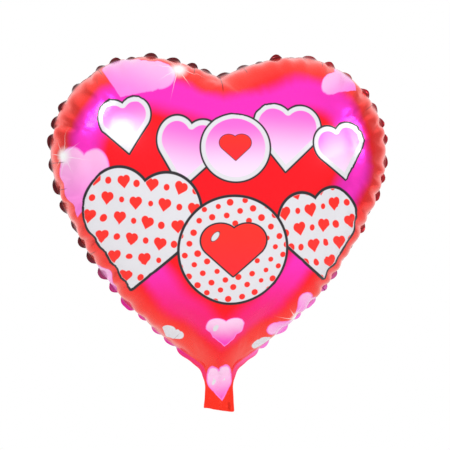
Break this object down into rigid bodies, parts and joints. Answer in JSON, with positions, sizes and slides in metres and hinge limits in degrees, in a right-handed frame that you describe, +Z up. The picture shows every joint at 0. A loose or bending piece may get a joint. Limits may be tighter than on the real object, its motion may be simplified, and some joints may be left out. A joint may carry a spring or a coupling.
{
  "type": "heart-shaped foil balloon",
  "caption": "Inflated heart-shaped balloon of two welded foil films, with a self-closing valve in the neck and a flat folding tail.",
  "frame": {"origin": "the tie point, at the middle of the neck on the fold line between the heart and the tail", "axes": "+Z up through the cleft of the heart, +Y towards the back, so the printed front faces -Y"},
  "size_m": [0.374, 0.1732, 0.394],
  "materials": {
    "foil": "printed metallised film, high gloss",
    "foil_edge": "heat-sealed film border, glossy and puckered",
    "valve_film": "clear thin polyethylene film, slightly milky"
  },
  "bodies": {
    "envelope": {"front_film": "foil", "back_film": "foil", "edge_weld": "foil_edge", "valve_inlet_front": "valve_film", "valve_inlet_back": "valve_film", "valve_inlet_weld_left": "valve_film", "valve_inlet_weld_right": "valve_film", "anchor_weld_front": "valve_film", "anchor_weld_back": "valve_film"},
    "valve": {"valve_lip_front": "valve_film", "valve_lip_back": "valve_film", "valve_lip_weld_left": "valve_film", "valve_lip_weld_right": "valve_film"},
    "tail": {"tail_front_film": "foil", "tail_back_film": "foil", "tail_weld_left": "foil_edge", "tail_weld_right": "foil_edge", "valve_mouth_front": "valve_film", "valve_mouth_back": "valve_film"}
  },
  "joints": [
    {"name": "tail_fold", "type": "hinge", "parent": "envelope", "child": "tail", "pos_m": [0, 0, 0], "axis": [1, 0, 0], "range_deg": [-110, 110]},
    {"name": "valve_lean", "type": "hinge", "parent": "envelope", "child": "valve", "pos_m": [0, 0, 0.021], "axis": [1, 0, 0], "range_deg": [-22, 22]}
  ]
}
